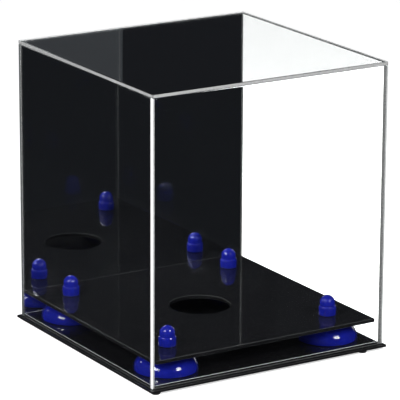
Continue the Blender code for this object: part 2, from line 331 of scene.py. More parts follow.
def finished_mesh(item, *helpers):
    """Mesh of a working object with its modifiers applied. The object and its helpers go."""
    depsgraph = bpy.context.evaluated_depsgraph_get()
    mesh = bpy.data.meshes.new_from_object(item.evaluated_get(depsgraph), depsgraph=depsgraph)
    mesh.name = item.name + "_mesh"
    for used in (item, *helpers):
        bpy.data.objects.remove(used, do_unlink=True)
    return mesh


def sheet_mesh(name, low, high, edge, steps, drills=()):
    """A flat sheet with rounded, polished edges, and with round holes where there are drills."""
    item = box_object(name, low, high)
    for drill in drills:
        hole = item.modifiers.new("hole", "BOOLEAN")
        hole.operation = "DIFFERENCE"
        hole.solver = "EXACT"
        hole.object = drill
    bevel = item.modifiers.new("polished_edges", "BEVEL")
    bevel.width = edge
    bevel.segments = steps
    bevel.limit_method = "ANGLE"
    bevel.angle_limit = math.radians(ROUNDED_ANGLE)
    bevel.harden_normals = True
    return finished_mesh(item, *drills)


def sort_faces(mesh, axis, low_face, high_face, edge_face):
    """Give a sheet's two flat faces and its edges their own material slots."""
    for polygon in mesh.polygons:
        along = polygon.normal[axis]
        if along > FLAT:
            polygon.material_index = high_face
        elif along < -FLAT:
            polygon.material_index = low_face
        else:
            polygon.material_index = edge_face


def face_end(mesh, end, least, slot):
    """Give the faces of a sheet's edges that face one way, at least so squarely, their own slot."""
    axis, way = ENDS[end]
    for polygon in mesh.polygons:
        if polygon.material_index and polygon.normal[axis] * way > least:
            polygon.material_index = slot


def arc(middle, radius, start, end, steps):
    """Points (radius, height) along an arc, angles in degrees from the outward direction."""
    points = []
    for i in range(steps + 1):
        angle = math.radians(start + (end - start) * i / steps)
        points.append((middle[0] + radius * math.cos(angle), middle[1] + radius * math.sin(angle)))
    return points


# Node helpers

def set_input(tree, socket, value):
    """Link an input to another node's output, or set its value."""
    if isinstance(value, bpy.types.NodeSocket):
        tree.links.new(value, socket)
    else:
        socket.default_value = value


def add_node(tree, kind, inputs=None, **options):
    """Add a node, set its options, then link sockets to its inputs or set their values."""
    node = tree.nodes.new(kind)
    for option, value in options.items():
        setattr(node, option, value)
    for key, value in (inputs or {}).items():
        set_input(tree, node.inputs[key], value)
    return node


def maths(tree, operation, *values, clamp=False):
    """Output of a Math node."""
    node = add_node(tree, "ShaderNodeMath", dict(enumerate(values)), operation=operation)
    node.use_clamp = clamp
    return node.outputs[0]


def vector_maths(tree, operation, first, *second):
    """Vector Math node."""
    return add_node(
        tree, "ShaderNodeVectorMath", dict(enumerate((first, *second))), operation=operation)


def colour_mix(tree, share, first, second):
    """Output of a colour Mix node."""
    node = add_node(tree, "ShaderNodeMix", data_type="RGBA")
    for index, value in ((0, share), (6, first), (7, second)):
        set_input(tree, node.inputs[index], value)
    return node.outputs[2]


def scale_to(tree, value, low_in, high_in, low_out, high_out):
    """Output of a Map Range node."""
    node = add_node(tree, "ShaderNodeMapRange", {
        "Value": value, "From Min": low_in, "From Max": high_in, "To Min": low_out, "To Max": high_out})
    return node.outputs["Result"]


def noise(tree, vector, scale, detail=2.0, roughness=0.5):
    """Factor of a Noise Texture."""
    node = add_node(tree, "ShaderNodeTexNoise", {
        "Vector": vector, "Scale": scale, "Detail": detail, "Roughness": roughness})
    return node.outputs["Fac"]


def new_group(name, inputs, outputs):
    """An empty shader node group with named inputs and outputs."""
    tree = bpy.data.node_groups.new(name, "ShaderNodeTree")
    for label, kind, value in inputs:
        socket = tree.interface.new_socket(label, in_out="INPUT", socket_type="NodeSocket" + kind)
        if value is not None:
            socket.default_value = value
    for label, kind in outputs:
        tree.interface.new_socket(label, in_out="OUTPUT", socket_type="NodeSocket" + kind)
    return tree, tree.nodes.new("NodeGroupInput"), tree.nodes.new("NodeGroupOutput")


def use_group(tree, group, inputs):
    """Place a shader node group in a material."""
    return add_node(tree, "ShaderNodeGroup", inputs, node_tree=group)


def handling_marks():
    """Wiped smudges and a little settled dust, for glossy plastics."""
    name = "handling_marks"
    if name in bpy.data.node_groups:
        return bpy.data.node_groups[name]
    tree, start, end = new_group(name, (
        ("Vector", "Vector", None),
        ("Roughness", "Float", 0.1),
        ("Smudge", "Float", 0.05),
        ("Smudge Scale", "Float", 25.0),
        ("Dust Scale", "Float", 700.0),
        ("Dust Cover", "Float", 0.1),
    ), (("Roughness", "Float"), ("Dust", "Float"), ("Smudge", "Float")))
    wipe_turn, wipe_squeeze = 0.6, 2.4
    turned = add_node(tree, "ShaderNodeMapping", {
        "Vector": start.outputs["Vector"], "Rotation": (0.0, 0.0, wipe_turn),
        "Scale": (1.0, wipe_squeeze, 1.0)})
    wipes = noise(tree, turned.outputs[0], start.outputs["Smudge Scale"], 4.0, 0.6)
    smudge = scale_to(tree, wipes, 0.42, 0.68, 0.0, 1.0)
    rough = maths(tree, "MULTIPLY_ADD", smudge, start.outputs["Smudge"], start.outputs["Roughness"])
    specks = noise(tree, start.outputs["Vector"], start.outputs["Dust Scale"], 1.0, 0.4)
    clean_limit, cover_effect, speck_softness = 0.80, 0.5, 0.06
    cover = maths(tree, "MULTIPLY", start.outputs["Dust Cover"], cover_effect)
    limit = maths(tree, "SUBTRACT", clean_limit, cover)
    dust = add_node(tree, "ShaderNodeMapRange", {
        "Value": specks, "From Min": limit,
        "From Max": maths(tree, "ADD", limit, speck_softness)}).outputs[0]
    tree.links.new(rough, end.inputs["Roughness"])
    tree.links.new(dust, end.inputs["Dust"])
    tree.links.new(smudge, end.inputs["Smudge"])
    return tree


def cut_marks():
    """Fine upright lines that a saw or laser leaves on the edges of a flat board."""
    name = "cut_marks"
    if name in bpy.data.node_groups:
        return bpy.data.node_groups[name]
    tree, start, end = new_group(name, (
        ("Vector", "Vector", None),
        ("Normal", "Vector", None),
        ("Pitch Scale", "Float", 1400.0),
        ("Board Axis", "Vector", (0.0, 0.0, 1.0)),
    ), (("Height", "Float"), ("Edge", "Float"), ("Arris", "Float")))
    axis = start.outputs["Board Axis"]
    along = vector_maths(tree, "DOT_PRODUCT", start.outputs["Normal"], axis)
    flat = maths(tree, "ABSOLUTE", along.outputs["Value"])
    edge = scale_to(tree, flat, 0.75, 0.45, 0.0, 1.0)
    depth = vector_maths(tree, "MULTIPLY", start.outputs["Vector"], axis)
    stretch = 0.97
    flattened = vector_maths(tree, "MULTIPLY", depth.outputs[0], (stretch, stretch, stretch))
    lines_at = vector_maths(tree, "SUBTRACT", start.outputs["Vector"], flattened.outputs[0])
    lines = noise(tree, lines_at.outputs[0], start.outputs["Pitch Scale"], 1.0, 0.5)
    tree.links.new(maths(tree, "MULTIPLY", lines, edge), end.inputs["Height"])
    tree.links.new(edge, end.inputs["Edge"])
    slanted = scale_to(tree, flat, 0.985, 0.93, 0.0, 1.0)
    below = scale_to(tree, flat, 0.20, 0.34, 0.0, 1.0)
    tree.links.new(maths(tree, "MULTIPLY", slanted, below), end.inputs["Arris"])
    return tree


def new_material(name, ior=MOULDING_IOR):
    """A material, with its Principled shader and object coordinates ready."""
    material = bpy.data.materials.new(name)
    material.use_nodes = True
    tree = material.node_tree
    shader = tree.nodes["Principled BSDF"]
    shader.inputs["IOR"].default_value = ior
    place = tree.nodes.new("ShaderNodeTexCoord").outputs["Object"]
    return material, tree, shader, place


def colour_of(value, factor=1.0):
    """An RGBA colour from a setting, made lighter or darker."""
    return (*(channel * factor for channel in value), 1.0)


# Finishes

def handled(tree, place, roughness, smudge, smudge_scale, dust_scale, dust_cover):
    """Handling marks, laid over a piece by its object coordinates."""
    return use_group(tree, handling_marks(), {
        "Vector": place, "Roughness": roughness, "Smudge": smudge,
        "Smudge Scale": smudge_scale, "Dust Scale": dust_scale, "Dust Cover": dust_cover})


def cut_lines(tree, place, axis):
    """Cut marks on the edges of a board whose flat faces look along an axis."""
    board_axis = tuple(float(i == axis) for i in range(3))
    normal = tree.nodes.new("ShaderNodeTexCoord").outputs["Normal"]
    return use_group(tree, cut_marks(), {
        "Vector": place, "Normal": normal, "Board Axis": board_axis})


def marked(tree, mark, share, clean, dull):
    """A colour with some share of a mark over it."""
    return colour_mix(tree, maths(tree, "MULTIPLY", mark, share), clean, dull)


def set_colour(tree, shader, share, first, second):
    """Link a mix of two colours to a shader's base colour."""
    tree.links.new(colour_mix(tree, share, first, second), shader.inputs["Base Color"])


def set_roughness(tree, shader, value, low_in, high_in, low_out, high_out):
    """Link a value, scaled from one range to another, to a shader's roughness."""
    scaled = scale_to(tree, value, low_in, high_in, low_out, high_out)
    tree.links.new(scaled, shader.inputs["Roughness"])


def set_bump(tree, shader, height, strength, distance):
    """Let a height raise and lower a shader's surface."""
    bump = add_node(tree, "ShaderNodeBump", {
        "Strength": strength, "Distance": distance, "Height": height})
    tree.links.new(bump.outputs[0], shader.inputs["Normal"])


def black_board(name, roughness, arris_highlight_share):
    """Black sheet with faint wipe marks, a little dust, cut lines and a painted highlight on its
    corners.
    """
    material, tree, shader, place = new_material(name, ACRYLIC_IOR)
    colours = bpy.context.scene.case_colours
    marks = handled(
        tree, place, roughness, smudge=0.012, smudge_scale=22.0, dust_scale=900.0, dust_cover=0.02)
    cuts = cut_lines(tree, place, AXIS_Z)
    dust_share, edge_roughness, arris_roughness = 0.02, 0.10, 0.22
    black = colour_of(colours.black)
    face = marked(tree, marks.outputs["Dust"], dust_share, black, DUST_ON_BLACK)
    # The corners get a pale colour mixed in: a painted highlight
    highlighted_arris = maths(tree, "MULTIPLY", cuts.outputs["Arris"], arris_highlight_share, clamp=True)
    set_colour(tree, shader, highlighted_arris, face, colour_of(colours.arris_highlight))
    rough = maths(
        tree, "MULTIPLY_ADD", cuts.outputs["Edge"], edge_roughness, marks.outputs["Roughness"])
    rough = maths(tree, "MULTIPLY_ADD", cuts.outputs["Arris"], arris_roughness, rough)
    tree.links.new(rough, shader.inputs["Roughness"])
    set_bump(tree, shader, cuts.outputs["Height"], strength=0.25, distance=0.0001)
    return material


def base_acrylic():
    """Polished black sheet of the base plate, with the faintest painted highlight on its corners."""
    return black_board("base_acrylic", roughness=0.035, arris_highlight_share=0.006)


def platform_acrylic():
    """Polished black sheet of the raised platform."""
    return black_board("platform_acrylic", roughness=0.035, arris_highlight_share=0.06)


def inlay_acrylic():
    """The inlay's black sheet: duller on top, with a bright painted highlight on its corners."""
    return black_board("inlay_acrylic", roughness=0.16, arris_highlight_share=1.0)


def blue_plastic():
    """Glossy moulded plastic: slight flow mottling and a soft skin texture."""
    material, tree, shader, place = new_material("blue_plastic")
    colour = bpy.context.scene.case_colours.blue
    marks = handled(
        tree, place, roughness=0.045, smudge=0.03, smudge_scale=60.0,
        dust_scale=1100.0, dust_cover=0.12)
    flow = scale_to(tree, noise(tree, place, 55.0, 3.0), 0.35, 0.7, 0.0, 1.0)
    body = colour_mix(tree, flow, colour_of(colour, 0.9), colour_of(colour, 1.1))
    dusty = marked(tree, marks.outputs["Dust"], 0.15, body, DUST_ON_BLUE)
    tree.links.new(dusty, shader.inputs["Base Color"])
    tree.links.new(marks.outputs["Roughness"], shader.inputs["Roughness"])
    skin = noise(tree, place, 900.0)
    set_bump(tree, shader, skin, strength=0.12, distance=0.0001)
    return material


def zinc_steel():
    """Bright zinc plating with a fine grain."""
    material, tree, shader, place = new_material("zinc_steel")
    colour = bpy.context.scene.case_colours.zinc
    grain = noise(tree, place, 1500.0, 3.0)
    patches = noise(tree, place, 300.0)
    set_colour(tree, shader, patches, colour_of(colour, 0.8), colour_of(colour, 1.1))
    set_roughness(tree, shader, grain, 0.3, 0.7, 0.22, 0.42)
    set_bump(tree, shader, grain, strength=0.1, distance=0.00005)
    shader.inputs["Metallic"].default_value = 1.0
    return material


def black_rubber():
    """Matt rubber with a fine grain and dust."""
    material, tree, shader, place = new_material("black_rubber")
    colour = bpy.context.scene.case_colours.rubber
    marks = handled(
        tree, place, roughness=0.62, smudge=0.2, smudge_scale=200.0,
        dust_scale=1600.0, dust_cover=0.25)
    dusty = marked(tree, marks.outputs["Dust"], 0.25, colour_of(colour), DUST_ON_RUBBER)
    tree.links.new(dusty, shader.inputs["Base Color"])
    tree.links.new(marks.outputs["Roughness"], shader.inputs["Roughness"])
    grain = noise(tree, place, 2500.0)
    set_bump(tree, shader, grain, strength=0.3, distance=0.0001)
    return material


def let_light_through(tree, shader, tint):
    """Let lamps and soft light pass a clear shader without bending."""
    output = tree.nodes["Material Output"]
    path = tree.nodes.new("ShaderNodeLightPath")
    open_way = add_node(tree, "ShaderNodeBsdfTransparent", {"Color": tint})
    passes = maths(tree, "MAXIMUM", path.outputs["Is Shadow Ray"], path.outputs["Is Diffuse Ray"])
    mix = add_node(tree, "ShaderNodeMixShader", {
        0: passes, 1: shader.outputs[0], 2: open_way.outputs[0]})
    tree.links.new(mix.outputs[0], output.inputs["Surface"])


def clear_acrylic():
    """Clear cast sheet with the faintest wipe marks."""
    material, tree, shader, place = new_material("clear_acrylic", ACRYLIC_IOR)
    colour = colour_of(bpy.context.scene.case_colours.clear)
    marks = handled(
        tree, place, roughness=0.0, smudge=0.012, smudge_scale=14.0,
        dust_scale=800.0, dust_cover=0.0)
    wiped = marked(tree, marks.outputs["Smudge"], 0.012, colour, WIPED_CLEAR)
    tree.links.new(wiped, shader.inputs["Base Color"])
    tree.links.new(marks.outputs["Roughness"], shader.inputs["Roughness"])
    shader.inputs["Transmission Weight"].default_value = 1.0
    let_light_through(tree, shader, colour)
    return material


def polished_edge(axis):
    """Edge of a clear sheet: it gathers light, and fine cut lines frost it a little."""
    material, tree, shader, place = new_material("polished_edge_" + "xyz"[axis], ACRYLIC_IOR)
    colour = bpy.context.scene.case_colours.edge
    lines = cut_lines(tree, place, axis).outputs["Height"]
    set_colour(tree, shader, lines, colour_of(colour), colour_of(colour, 0.93))
    set_roughness(tree, shader, lines, 0.3, 0.8, 0.05, 0.14)
    shader.inputs["Transmission Weight"].default_value = 1.0
    let_light_through(tree, shader, colour_of(colour))
    return material


def frosted_painted_edge(axis, shade, inner_shade):
    """Sawn end of a clear sheet: frosting, fine cut lines and painted light; duller from inside as
    painted shade.
    """
    material, tree, shader, place = new_material(
        f"frosted_edge_{'xyz'[axis]}_{round(100 * shade)}_{round(100 * inner_shade)}",
        ACRYLIC_IOR)
    colour = bpy.context.scene.case_colours.frosted_and_painted_light
    lines = cut_lines(tree, place, axis).outputs["Height"]
    # Seen from inside, the end takes the painted inner shade
    side = tree.nodes.new("ShaderNodeNewGeometry").outputs["Backfacing"]
    line_shade, seen_through = 0.9, 0.2
    smooth_part = colour_mix(tree, side, colour_of(colour, shade), colour_of(colour, inner_shade))
    cut_part = colour_mix(
        tree, side, colour_of(colour, shade * line_shade), colour_of(colour, inner_shade * line_shade))
    set_colour(tree, shader, lines, smooth_part, cut_part)
    set_roughness(tree, shader, lines, 0.3, 0.8, 0.24, 0.36)
    shader.inputs["Transmission Weight"].default_value = seen_through
    let_light_through(tree, shader, colour_of(colour))
    return material


def resting_edge():
    """Lower edge of a clear sheet, painted dark: a painted reflection of the black base it stands on.
    """
    material, tree, shader, place = new_material("resting_edge", ACRYLIC_IOR)
    colour = bpy.context.scene.case_colours.edge
    marks = noise(tree, place, 600.0)
    set_colour(tree, shader, marks, colour_of(colour, 0.03), colour_of(colour, 0.05))
    set_roughness(tree, shader, marks, 0.3, 0.7, 0.12, 0.22)
    return material


def mirror_face():
    """Silvered face of the mirror sheet, very slightly uneven."""
    material, tree, shader, place = new_material("mirror_silver")
    colour = bpy.context.scene.case_colours.silver
    marks = handled(
        tree, place, roughness=0.004, smudge=0.012, smudge_scale=12.0,
        dust_scale=800.0, dust_cover=0.0)
    wiped = marked(tree, marks.outputs["Smudge"], 0.03, colour_of(colour), colour_of(colour, 0.8))
    tree.links.new(wiped, shader.inputs["Base Color"])
    tree.links.new(marks.outputs["Roughness"], shader.inputs["Roughness"])
    shader.inputs["Metallic"].default_value = 1.0
    return material


def mirror_edge():
    """Cut edge of the mirror sheet, dark between the silver and the paint."""
    material, tree, shader, place = new_material("mirror_edge", ACRYLIC_IOR)
    colour = bpy.context.scene.case_colours.mirror_edge
    lines = cut_lines(tree, place, AXIS_Y).outputs["Height"]
    set_colour(tree, shader, lines, colour_of(colour), colour_of(colour, 1.8))
    set_roughness(tree, shader, lines, 0.2, 0.8, 0.10, 0.28)
    return material


def mirror_paint():
    """Grey protective paint on the mirror's back, with the soft skin that rolling leaves."""
    material, tree, shader, place = new_material("mirror_paint")
    colour = bpy.context.scene.case_colours.mirror_paint
    marks = handled(
        tree, place, roughness=0.42, smudge=0.16, smudge_scale=16.0,
        dust_scale=900.0, dust_cover=0.2)
    cloud = noise(tree, place, 14.0, 4.0, 0.6)
    body = colour_mix(tree, cloud, colour_of(colour, 0.9), colour_of(colour, 1.12))
    dusty = marked(tree, marks.outputs["Dust"], 0.3, body, DUST_ON_PAINT)
    tree.links.new(dusty, shader.inputs["Base Color"])
    tree.links.new(marks.outputs["Roughness"], shader.inputs["Roughness"])
    skin = noise(tree, place, 650.0, 3.0)
    set_bump(tree, shader, skin, strength=0.25, distance=0.0002)
    return material


def finish_named(name, make):
    """A finish that several pieces share, made once."""
    if name not in FINISHES:
        FINISHES[name] = make()
    return FINISHES[name]


# Turned mouldings, set at four places by one tree

def turned_tree():
    """Geometry Nodes tree that turns a profile about +Z and sets it at four places."""
    name = "turned_at_four_places"
    if name in bpy.data.node_groups:
        return bpy.data.node_groups[name]
    tree = bpy.data.node_groups.new(name, "GeometryNodeTree")
    inputs = [
        ("Profile", "Geometry"), ("Sides", "Int"), ("Merge Distance", "Float"), ("Finish", "Material"),
        *((corner, "Vector") for corner in CORNERS)]
    for label, kind in inputs:
        tree.interface.new_socket(label, in_out="INPUT", socket_type="NodeSocket" + kind)
    tree.interface.new_socket("Pieces", in_out="OUTPUT", socket_type="NodeSocketGeometry")
    start = tree.nodes.new("NodeGroupInput")
    end = tree.nodes.new("NodeGroupOutput")

    count = add_node(tree, "GeometryNodeAttributeDomainSize", {"Geometry": start.outputs["Profile"]})
    points = count.outputs["Point Count"]
    rows = maths(tree, "ADD", start.outputs["Sides"], 1.0)
    net = add_node(tree, "GeometryNodeMeshGrid", {"Vertices X": rows, "Vertices Y": points})
    index = tree.nodes.new("GeometryNodeInputIndex").outputs[0]
    step = maths(tree, "FLOOR", maths(tree, "DIVIDE", maths(tree, "ADD", index, 0.5), points))
    place = maths(tree, "SUBTRACT", index, maths(tree, "MULTIPLY", step, points))
    position = tree.nodes.new("GeometryNodeInputPosition").outputs[0]
    sample = add_node(tree, "GeometryNodeSampleIndex", data_type="FLOAT_VECTOR", domain="POINT")
    tree.links.new(start.outputs["Profile"], sample.inputs["Geometry"])
    tree.links.new(position, sample.inputs["Value"])
    tree.links.new(place, sample.inputs["Index"])
    parts = add_node(tree, "ShaderNodeSeparateXYZ", {0: sample.outputs[0]})
    angle = maths(tree, "DIVIDE", maths(tree, "MULTIPLY", step, math.tau), start.outputs["Sides"])
    across = maths(tree, "MULTIPLY", parts.outputs["X"], maths(tree, "COSINE", angle))
    deep = maths(tree, "MULTIPLY", parts.outputs["X"], maths(tree, "SINE", angle))
    turned = add_node(tree, "ShaderNodeCombineXYZ", {
        "X": across, "Y": deep, "Z": parts.outputs["Z"]})
    shape = add_node(tree, "GeometryNodeSetPosition", {
        "Geometry": net.outputs["Mesh"], "Position": turned.outputs[0]})
    closed = add_node(tree, "GeometryNodeMergeByDistance", {
        "Geometry": shape.outputs[0], "Distance": start.outputs["Merge Distance"]})

    places = tree.nodes.new("GeometryNodeJoinGeometry")
    for corner in CORNERS:
        point = add_node(tree, "GeometryNodePoints", {"Count": 1, "Position": start.outputs[corner]})
        tree.links.new(point.outputs[0], places.inputs[0])
    row = add_node(tree, "GeometryNodeInstanceOnPoints", {
        "Points": places.outputs[0], "Instance": closed.outputs[0]})
    real = add_node(tree, "GeometryNodeRealizeInstances", {0: row.outputs[0]})
    finish = add_node(tree, "GeometryNodeSetMaterial", {
        "Geometry": real.outputs[0], "Material": start.outputs["Finish"]})
    tree.links.new(finish.outputs[0], end.inputs["Pieces"])
    return tree


def turned_pieces(name, profile, places, finish, crisp):
    """Mesh of four like mouldings, turned from one profile of (radius, height) points."""
    line = bpy.data.meshes.new(name + "_profile")
    line.from_pydata([(radius, 0.0, height) for radius, height in profile], [], [])
    item = bpy.data.objects.new(name, line)
    bpy.context.scene.collection.objects.link(item)
    modifier = item.modifiers.new("turned", "NODES")
    tree = turned_tree()
    modifier.node_group = tree
    sockets = {socket.name: socket.identifier for socket in tree.interface.items_tree}
    modifier[sockets["Sides"]] = bpy.context.scene.case_sizes.turned_sides
    modifier[sockets["Merge Distance"]] = MERGE_DISTANCE
    modifier[sockets["Finish"]] = finish
    for corner, place in zip(CORNERS, places):
        modifier[sockets[corner]] = place
    mesh = finished_mesh(item)
    shape = bmesh.new()
    shape.from_mesh(mesh)
    bmesh.ops.dissolve_degenerate(shape, dist=NEEDLE_LENGTH, edges=shape.edges)
    bmesh.ops.recalc_face_normals(shape, faces=shape.faces)
    shape.to_mesh(mesh)
    shape.free()
    smooth(mesh, crisp)
    bpy.data.meshes.remove(line)
    return mesh


def crown_arc(radius, low, high, end_radius, steps):
    """A quarter of an ellipse that rises from upright and reaches its height at the end radius."""
    end = math.acos(end_radius / radius)
    points = []
    for i in range(steps + 1):
        angle = end * i / steps
        rise = (high - low) * math.sin(angle) / math.sin(end)
        points.append((radius * math.cos(angle), low + rise))
    return points


def dome_profile(sizes):
    """Outside, screw hole, boss and hollow of a dome, its rim at height zero."""
    rim = width_of("post_dome_front_left") / 2
    height = height_of("post_dome_front_left")
    boss = sizes.dome_boss / 2
    hole = sizes.screw_hole / 2
    inner_rim = rim - sizes.dome_wall
    outside = crown_arc(rim, sizes.dome_rim, height, sizes.dome_seat / 2, 28)
    inside = crown_arc(inner_rim, sizes.dome_rim, height - sizes.dome_wall, boss, 14)
    toe = arc((rim - sizes.toe, sizes.toe), sizes.toe, -90, 0, 4)
    return [
        *toe, *outside, (hole, height), (hole, 0.0), (boss, 0.0), *reversed(inside),
        (inner_rim, 0.0), toe[0]]


def cap_profile(sizes):
    """Skirt, rounded shoulder, neck and round top of a cap, its foot at height zero."""
    skirt = width_of("post_cap_front_left") / 2
    neck = sizes.cap_neck / 2
    height = height_of("post_cap_front_left")
    step = skirt - neck
    shoulder = [
        (neck + step * out, sizes.cap_skirt + sizes.cap_shoulder * up)
        for out, up in arc((0.0, 0.0), 1.0, 0, 90, 8)]
    top = arc((0.0, height - neck), neck, 0, 90, 16)[:-1]
    toe = arc((skirt - sizes.toe, sizes.toe), sizes.toe, -90, 0, 4)
    return [(0.0, 0.0), *toe, *shoulder, *top, (0.0, height)]


def foot_profile(sizes):
    """A rubber foot that narrows to a rounded tip at height zero."""
    top = width_of("foot_front_left") / 2
    height = height_of("foot_front_left")
    tip = top - sizes.foot_taper
    rounding = arc((tip - sizes.toe, sizes.toe), sizes.toe, -90, 0, 5)
    return [(0.0, 0.0), *rounding, (top, height), (0.0, height)]


class CASE_OT_posts(bpy.types.Operator):
    """Make the blue domes and caps and finish the screws through them"""

    bl_idname = "case.posts"
    bl_label = "Blue Posts"

    def execute(self, context):
        sizes = context.scene.case_sizes
        blue = finish_named("blue_plastic", blue_plastic)
        zinc = finish_named("zinc_steel", zinc_steel)
        groups = (
            ("post_domes", "post_dome_", dome_profile(sizes)),
            ("post_caps", "post_cap_", cap_profile(sizes)),
        )
        for name, stem, profile in groups:
            nodes = [stem + corner for corner in CORNERS]
            places = [foot_of(node) for node in nodes]
            mesh = turned_pieces(name, profile, places, blue, POST_CRISP_ANGLE)
            link_piece(name, mesh, "base", "blue_plastic", *nodes)
        for corner in CORNERS:
            dress("post_screw_" + corner, zinc)
        return {"FINISHED"}


class CASE_OT_feet(bpy.types.Operator):
    """Make the four rubber feet"""

    bl_idname = "case.feet"
    bl_label = "Rubber Feet"

    def execute(self, context):
        rubber = finish_named("black_rubber", black_rubber)
        nodes = ["foot_" + corner for corner in CORNERS]
        profile = foot_profile(context.scene.case_sizes)
        places = [foot_of(node) for node in nodes]
        mesh = turned_pieces("feet", profile, places, rubber, FOOT_CRISP_ANGLE)
        link_piece("feet", mesh, "base", "black_rubber", *nodes)
        return {"FINISHED"}


def dress(node, finish):
    """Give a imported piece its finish."""
    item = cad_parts[node]
    item.data.materials.clear()
    item.data.materials.append(finish)


class CASE_OT_boards(bpy.types.Operator):
    """Make the black base plate, its inlay and the raised platform with the ball's seat"""

    bl_idname = "case.boards"
    bl_label = "Black Boards"

    def execute(self, context):
        sizes = context.scene.case_sizes
        dress("base_plate", finish_named("base_acrylic", base_acrylic))

        low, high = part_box("base_inlay")
        holes = self.screw_drills(sizes, low.z, high.z)
        mesh = sheet_mesh("inlay", low, high, sizes.inlay_edge, sizes.edge_steps, holes)
        mesh.materials.append(finish_named("inlay_acrylic", inlay_acrylic))
        link_piece("inlay_board", mesh, "base", "black_acrylic", "base_inlay")

        low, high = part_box("riser_platform")
        middle = (low + high) / 2
        holes = self.screw_drills(sizes, low.z, high.z)
        reach = CUTTER_REACH * (high.z - low.z)
        holes.append(drill_object(middle, sizes.seat_diameter / 2, reach, SEAT_SIDES))
        mesh = sheet_mesh("platform", low, high, sizes.board_edge, sizes.edge_steps, holes)
        mesh.materials.append(finish_named("platform_acrylic", platform_acrylic))
        link_piece("platform_board", mesh, "base", "black_acrylic", "riser_platform")
        return {"FINISHED"}

    @staticmethod
    def screw_drills(sizes, low, high):
        """Cutters for the four screw holes of a board between two heights."""
        drills = []
        for corner in CORNERS:
            place = centre("post_screw_" + corner)
            place.z = (low + high) / 2
            reach = CUTTER_REACH * (high - low)
            drills.append(drill_object(place, sizes.screw_hole / 2, reach, HOLE_SIDES))
        return drills


class CASE_OT_cover(bpy.types.Operator):
    """Make the clear top, front, left and right sheets of the cover"""

    bl_idname = "case.cover"
    bl_label = "Clear Cover"

    def execute(self, context):
        sizes = context.scene.case_sizes
        clear = finish_named("clear_acrylic", clear_acrylic)
        for node, name, axis, least, frosted_and_painted_light in CLEAR_SHEETS:
            low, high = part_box(node)
            mesh = sheet_mesh(name, low, high, sizes.sheet_edge, sizes.edge_steps)
            mesh.materials.append(clear)
            mesh.materials.append(finish_named(("polished", axis), lambda: polished_edge(axis)))
            sort_faces(mesh, axis, 0, 0, 1)
            # Each end gets its own painted paleness, standing in for the light it catches, and painted
            # shade from inside
            for end, shades in frosted_and_painted_light.items():
                mesh.materials.append(
                    finish_named(("frosted_and_painted_light", axis, *shades), lambda: frosted_painted_edge(axis, *shades)))
                face_end(mesh, end, least, len(mesh.materials) - 1)
            if axis != AXIS_Z:
                # The lower edges get a painted reflection of the black base
                mesh.materials.append(finish_named("resting_edge", resting_edge))
                face_end(mesh, "foot", least, len(mesh.materials) - 1)
            link_piece(name, mesh, "cover", "clear_acrylic", node)
        return {"FINISHED"}


class CASE_OT_mirror(bpy.types.Operator):
    """Make the mirror sheet with its silvered face, dark edge and painted back"""

    bl_idname = "case.mirror"
    bl_label = "Mirror Back"

    def execute(self, context):
        sizes = context.scene.case_sizes
        low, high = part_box("mirror_back")
        mesh = sheet_mesh("mirror", low, high, sizes.sheet_edge, sizes.edge_steps)
        mesh.materials.append(finish_named("mirror_silver", mirror_face))
        mesh.materials.append(finish_named("mirror_paint", mirror_paint))
        mesh.materials.append(finish_named("mirror_edge", mirror_edge))
        sort_faces(mesh, AXIS_Y, 0, 1, 2)
        link_piece("mirror_sheet", mesh, "cover", "mirror_silver", "mirror_back")
        return {"FINISHED"}


# Stage

def pale_share(tree, outward, low, far):
    """How pale the surroundings look: all round to the camera, behind the case in reflections."""
    path = tree.nodes.new("ShaderNodeLightPath")
    unmirrored = maths(tree, "LESS_THAN", path.outputs["Glossy Depth"], 0.5)
    behind = vector_maths(tree, "DOT_PRODUCT", outward, BEHIND).outputs["Value"]
    side_on, straight_on, surfaces_passed = 0.78, 0.88, 2.5
    is_behind = scale_to(tree, behind, side_on, straight_on, 0.0, 1.0)
    in_sheet = maths(tree, "LESS_THAN", path.outputs["Transmission Depth"], surfaces_passed)
    in_sheet = maths(tree, "MULTIPLY", in_sheet, path.outputs["Is Transmission Ray"])
    share = maths(tree, "MULTIPLY", low, maths(tree, "MAXIMUM", in_sheet, far))
    mirrored = maths(tree, "MULTIPLY", is_behind, share)
    return path, maths(tree, "MAXIMUM", unmirrored, mirrored)


def make_world(studio):
    """White behind the case and to the camera, dark in front of it, with even soft light."""
    world = bpy.data.worlds.new("studio_world")
    bpy.context.scene.world = world
    world.use_nodes = True
    world.cycles.sampling_method = "NONE"
    tree = world.node_tree
    background = tree.nodes["Background"]
    direction = tree.nodes.new("ShaderNodeTexCoord").outputs["Generated"]
    height = add_node(tree, "ShaderNodeSeparateXYZ", {0: direction}).outputs["Z"]
    low = scale_to(tree, height, 0.14, 0.17, 1.0, 0.0)
    far = scale_to(tree, height, -0.10, -0.05, 0.0, 1.0)
    path, pale = pale_share(tree, direction, low, far)
    sideways = vector_maths(tree, "DOT_PRODUCT", direction, SIDEWAYS).outputs["Value"]
    panel = maths(tree, "LESS_THAN", sideways, GREY_PANEL_EDGE)
    dark = colour_mix(tree, panel, DARK_ROOM, GREY_PANEL)
    lost_per_surface = 0.22
    white = maths(tree, "MULTIPLY_ADD", path.outputs["Transmission Depth"], lost_per_surface, 1.0)
    seen = colour_mix(tree, pale, dark, WHITE)
    tree.links.new(
        maths(tree, "MAXIMUM", 1.0, maths(tree, "MULTIPLY", white, pale)),
        background.inputs["Strength"])
    soft = (studio.ambient, studio.ambient, studio.ambient, 1.0)
    tree.links.new(
        colour_mix(tree, path.outputs["Is Diffuse Ray"], seen, soft), background.inputs["Color"])


